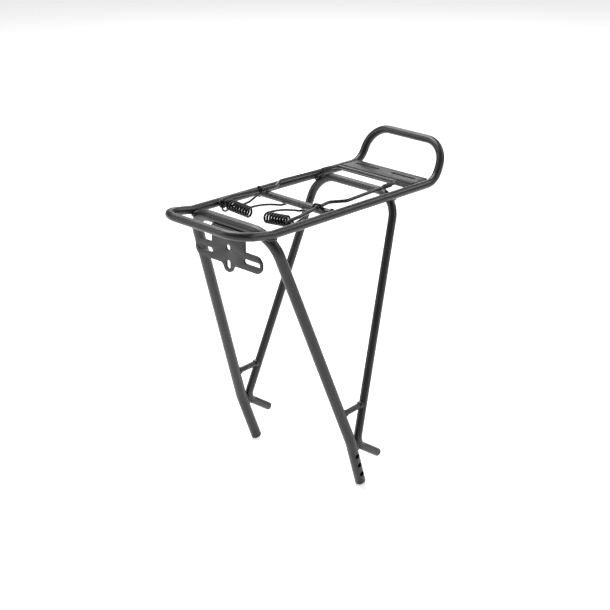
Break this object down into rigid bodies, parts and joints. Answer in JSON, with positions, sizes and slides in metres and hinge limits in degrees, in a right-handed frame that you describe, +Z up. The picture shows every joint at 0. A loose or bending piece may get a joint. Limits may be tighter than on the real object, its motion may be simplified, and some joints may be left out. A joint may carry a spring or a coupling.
{
  "type": "bicycle rear carrier",
  "caption": "Black welded steel tube rear carrier for a bicycle: flat open deck with upturned ends, splayed legs with bolt holes, slotted mounting plates and a sprung wire clamp.",
  "frame": {"origin": "midway between the lowest bolt holes of the two front legs, on the line that joins them", "axes": "+X to the bicycle's left, +Y towards its rear, +Z up"},
  "size_m": [0.199, 0.357, 0.3842],
  "materials": {
    "frame_coat": "semi-matt black powder coat on steel tube",
    "wire_coat": "satin black coat on steel wire",
    "spring_coat": "gloss black spring wire",
    "sleeve_rubber": "matt black rubber"
  },
  "bodies": {
    "carrier": {"deck_loop_tube": "frame_coat", "front_leg_hoop": "frame_coat", "rear_leg_hoop": "frame_coat", "mid_cross_tube": "frame_coat", "left_leg_brace": "frame_coat", "right_leg_brace": "frame_coat", "left_leg_end_plug": "frame_coat", "right_leg_end_plug": "frame_coat", "left_hook_end_plug": "frame_coat", "right_hook_end_plug": "frame_coat", "front_mounting_plate": "frame_coat", "rear_plate": "frame_coat", "left_hinge_pin": "frame_coat", "right_hinge_pin": "frame_coat", "left_torsion_spring": "spring_coat", "right_torsion_spring": "spring_coat", "left_front_rail_weld": "frame_coat", "right_front_rail_weld": "frame_coat", "left_rear_rail_weld": "frame_coat", "right_rear_rail_weld": "frame_coat", "left_leg_joint_weld": "frame_coat", "right_leg_joint_weld": "frame_coat", "left_brace_front_weld": "frame_coat", "right_brace_front_weld": "frame_coat", "left_brace_rear_weld": "frame_coat", "right_brace_rear_weld": "frame_coat", "left_mid_tube_weld": "frame_coat", "right_mid_tube_weld": "frame_coat", "left_hinge_pin_weld": "frame_coat", "right_hinge_pin_weld": "frame_coat", "front_plate_weld": "frame_coat", "left_rear_plate_weld": "frame_coat", "right_rear_plate_weld": "frame_coat"},
    "clamp": {"clamp_frame": "wire_coat", "left_arm_sleeve": "sleeve_rubber", "right_arm_sleeve": "sleeve_rubber"}
  },
  "joints": [
    {"name": "clamp_hinge", "type": "hinge", "parent": "carrier", "child": "clamp", "pos_m": [0, -0.0775, 0.322], "axis": [1, 0, 0], "range_deg": [0, 80], "stiffness_Nm_per_rad": 1, "springref_deg": -57.3, "deforming": ["left_torsion_spring", "right_torsion_spring"]}
  ]
}
